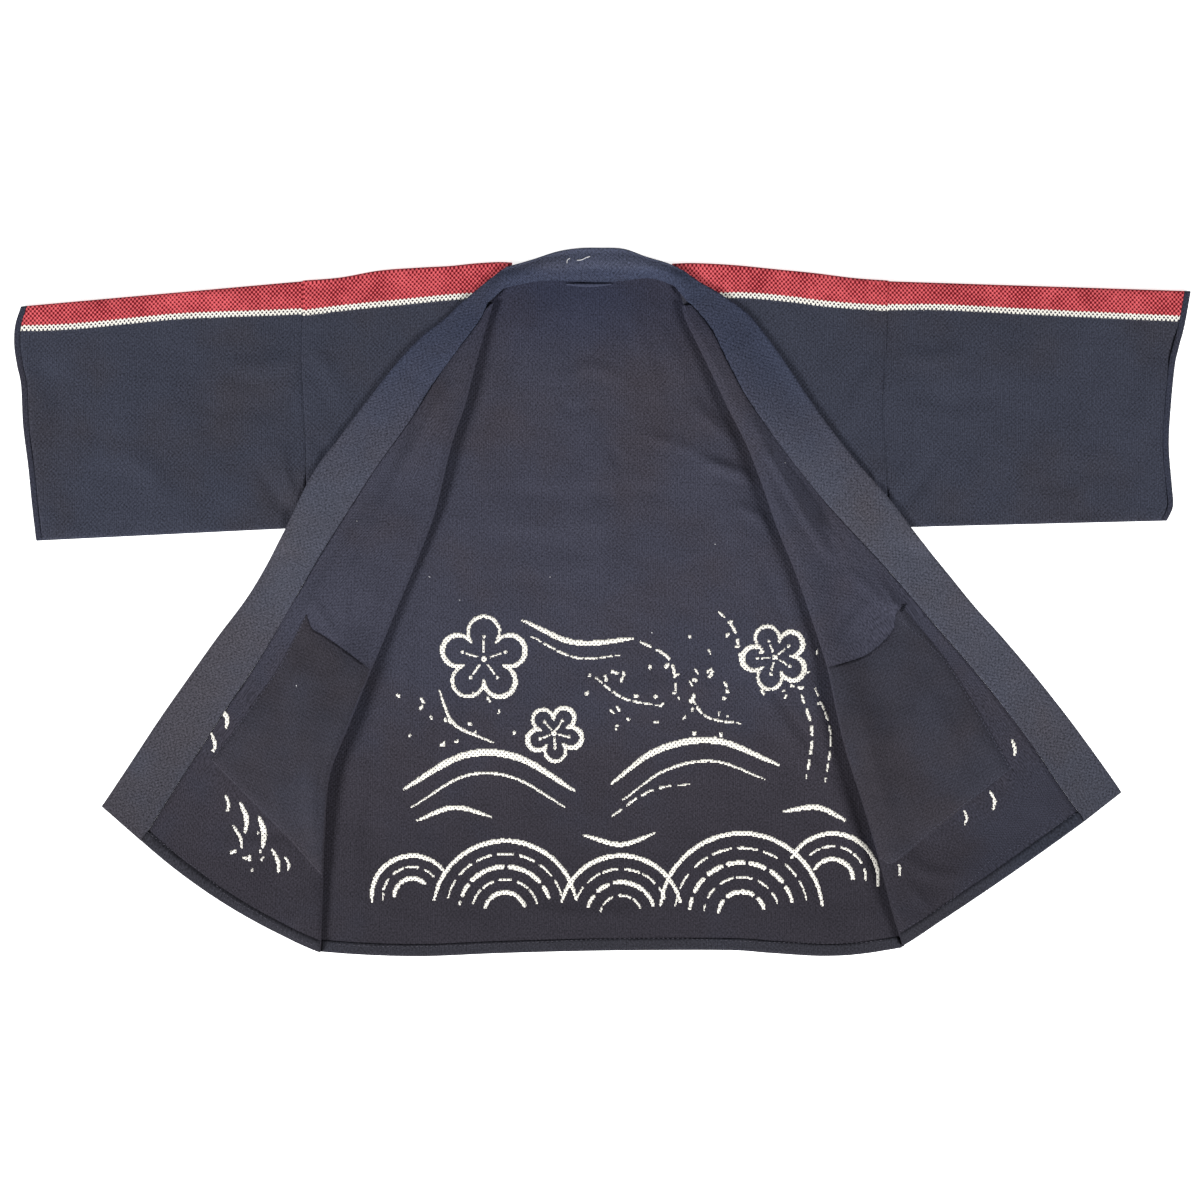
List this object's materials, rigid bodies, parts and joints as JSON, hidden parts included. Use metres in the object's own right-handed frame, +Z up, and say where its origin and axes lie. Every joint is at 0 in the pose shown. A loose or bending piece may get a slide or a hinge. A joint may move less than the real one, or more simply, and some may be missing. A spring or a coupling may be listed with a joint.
{
  "type": "hanten jacket",
  "caption": "Short indigo work jacket with straight sleeves and a long collar band, laid flat on its back with both fronts turned open.",
  "frame": {"origin": "centre of the bounding box, on the surface that the jacket lies on", "axes": "+X towards the sleeve on the right of the picture, +Y towards the collar, +Z up from the surface"},
  "size_m": [1.2689, 0.7656, 0.0151],
  "materials": {
    "body_cloth": "matte",
    "sleeve_cloth": "matte",
    "collar_cloth": "matte",
    "pocket_cloth": "matte",
    "binding": "matte"
  },
  "bodies": {
    "root": {"back": "body_cloth", "hem_back": "body_cloth", "front_left": "body_cloth", "pocket_left": "pocket_cloth", "hem_left": "body_cloth", "front_right": "body_cloth", "pocket_right": "pocket_cloth", "hem_right": "body_cloth", "sleeve_left": "sleeve_cloth", "cuff_left": "binding", "sleeve_right": "sleeve_cloth", "cuff_right": "binding", "collar": "collar_cloth", "hanger_loop": "binding"}
  },
  "joints": []
}
